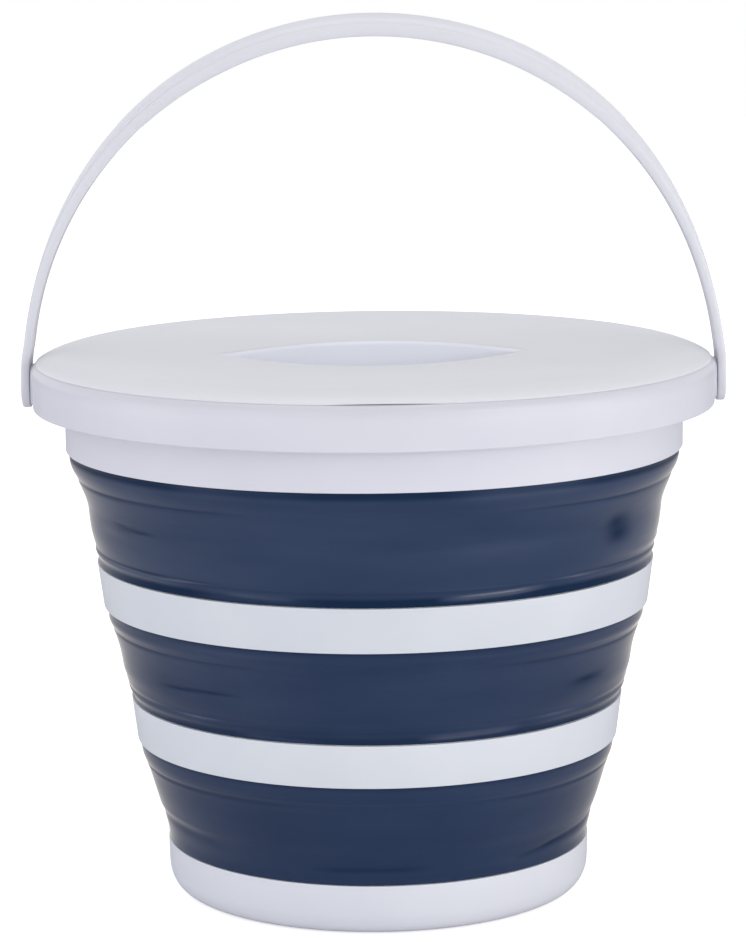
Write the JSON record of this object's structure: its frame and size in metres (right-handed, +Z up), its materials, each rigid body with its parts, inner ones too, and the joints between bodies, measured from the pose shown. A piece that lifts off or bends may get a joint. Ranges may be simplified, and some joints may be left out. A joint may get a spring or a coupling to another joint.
{
  "type": "collapsible bucket with lid",
  "caption": "Collapsible camp bucket: white base, rings and rim collar joined by folding navy bands, with a press-on lid with a recessed grip and an arched bail handle.",
  "frame": {"origin": "middle of the face that the bucket stands on, on its centre line", "axes": "+Z up along the centre line, X through the two bail pivots, -Y towards the side shown in the picture"},
  "size_m": [0.33, 0.3198, 0.4125],
  "materials": {
    "white_shell": "satin moulded polypropylene",
    "navy_rubber": "smooth satin thermoplastic rubber"
  },
  "bodies": {
    "base": {"base_pan": "white_shell", "flex_band_lower": "navy_rubber"},
    "lower_ring": {"ring_lower": "white_shell", "flex_band_middle": "navy_rubber"},
    "upper_ring": {"ring_upper": "white_shell", "flex_band_upper": "navy_rubber"},
    "rim": {"rim_collar": "white_shell"},
    "lid": {"lid": "white_shell"},
    "bail": {"bail_handle": "white_shell"}
  },
  "joints": [
    {"name": "fold_lower", "type": "slide", "parent": "base", "child": "lower_ring", "axis": [0, 0, -1], "range_m": [0, 0.064], "deforming": ["flex_band_lower"]},
    {"name": "fold_middle", "type": "slide", "parent": "lower_ring", "child": "upper_ring", "axis": [0, 0, -1], "range_m": [0, 0.062], "deforming": ["flex_band_middle"]},
    {"name": "fold_upper", "type": "slide", "parent": "upper_ring", "child": "rim", "axis": [0, 0, -1], "range_m": [0, 0.067], "deforming": ["flex_band_upper"]},
    {"name": "lid_lift", "type": "slide", "parent": "rim", "child": "lid", "axis": [0, 0, 1], "range_m": [0, 0.014]},
    {"name": "bail_swing", "type": "hinge", "parent": "rim", "child": "bail", "pos_m": [0, 0, 0.241], "axis": [1, 0, 0], "range_deg": [-90, 90]}
  ]
}
